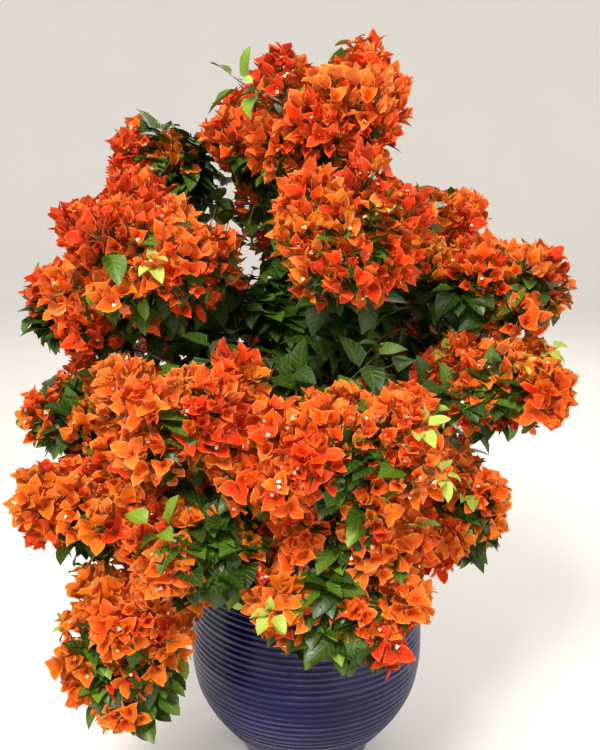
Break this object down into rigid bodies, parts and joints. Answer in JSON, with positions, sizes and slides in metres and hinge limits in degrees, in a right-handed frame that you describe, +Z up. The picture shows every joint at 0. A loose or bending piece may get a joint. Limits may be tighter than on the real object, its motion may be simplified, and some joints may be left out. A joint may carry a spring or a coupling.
{
  "type": "bougainvillea bush in a planter",
  "caption": "Bushy bougainvillea with arching, hanging shoots of orange blossom, in a ribbed round planter.",
  "frame": {"origin": "centre of the pot's flat underside", "axes": "+Z up; the plant's front, its fullest side, faces -Y; +X to the right seen from the front"},
  "size_m": [1.0889, 0.9858, 1.4171],
  "materials": {
    "glaze": "high-gloss dark blue glaze over throwing ribs",
    "soil": "rough dark potting soil",
    "bark": "matt grey-brown bark",
    "blossom": "papery orange bracts with a soft sheen",
    "leaf": "mid-green leaves, slightly glossy"
  },
  "bodies": {
    "root": {"bough_back_high": "bark", "bough_back_left": "bark", "bough_back_low_left": "bark", "bough_back_low_right": "bark", "bough_back_mid": "bark", "bough_back_right": "bark", "bough_centre_high": "bark", "bough_centre_left": "bark", "bough_centre_mid": "bark", "bough_crest_back": "bark", "bough_heart": "bark", "bough_left_high": "bark", "bough_left_low": "bark", "bough_left_side": "bark", "bough_left_skirt": "bark", "bough_left_tail": "bark", "bough_right_high": "bark", "bough_right_mid": "bark", "bough_right_skirt": "bark", "bough_skirt_centre": "bark", "bough_skirt_left": "bark", "cane_left": "bark", "cane_right": "bark", "mass_back_high": "blossom", "mass_back_left": "blossom", "mass_back_low_left": "blossom", "mass_back_low_right": "blossom", "mass_back_mid": "blossom", "mass_back_right": "blossom", "mass_centre_high": "blossom", "mass_centre_left": "blossom", "mass_centre_mid": "blossom", "mass_crest": "blossom", "mass_crest_back": "blossom", "mass_heart": "leaf", "mass_left_high": "blossom", "mass_left_low": "blossom", "mass_left_shoulder": "blossom", "mass_left_side": "blossom", "mass_left_skirt": "blossom", "mass_left_tail": "blossom", "mass_right_high": "blossom", "mass_right_mid": "blossom", "mass_right_shoulder": "blossom", "mass_right_skirt": "blossom", "mass_skirt_centre": "blossom", "mass_skirt_left": "blossom", "pot": "glaze", "soil": "soil", "trunk": "bark"}
  },
  "joints": []
}
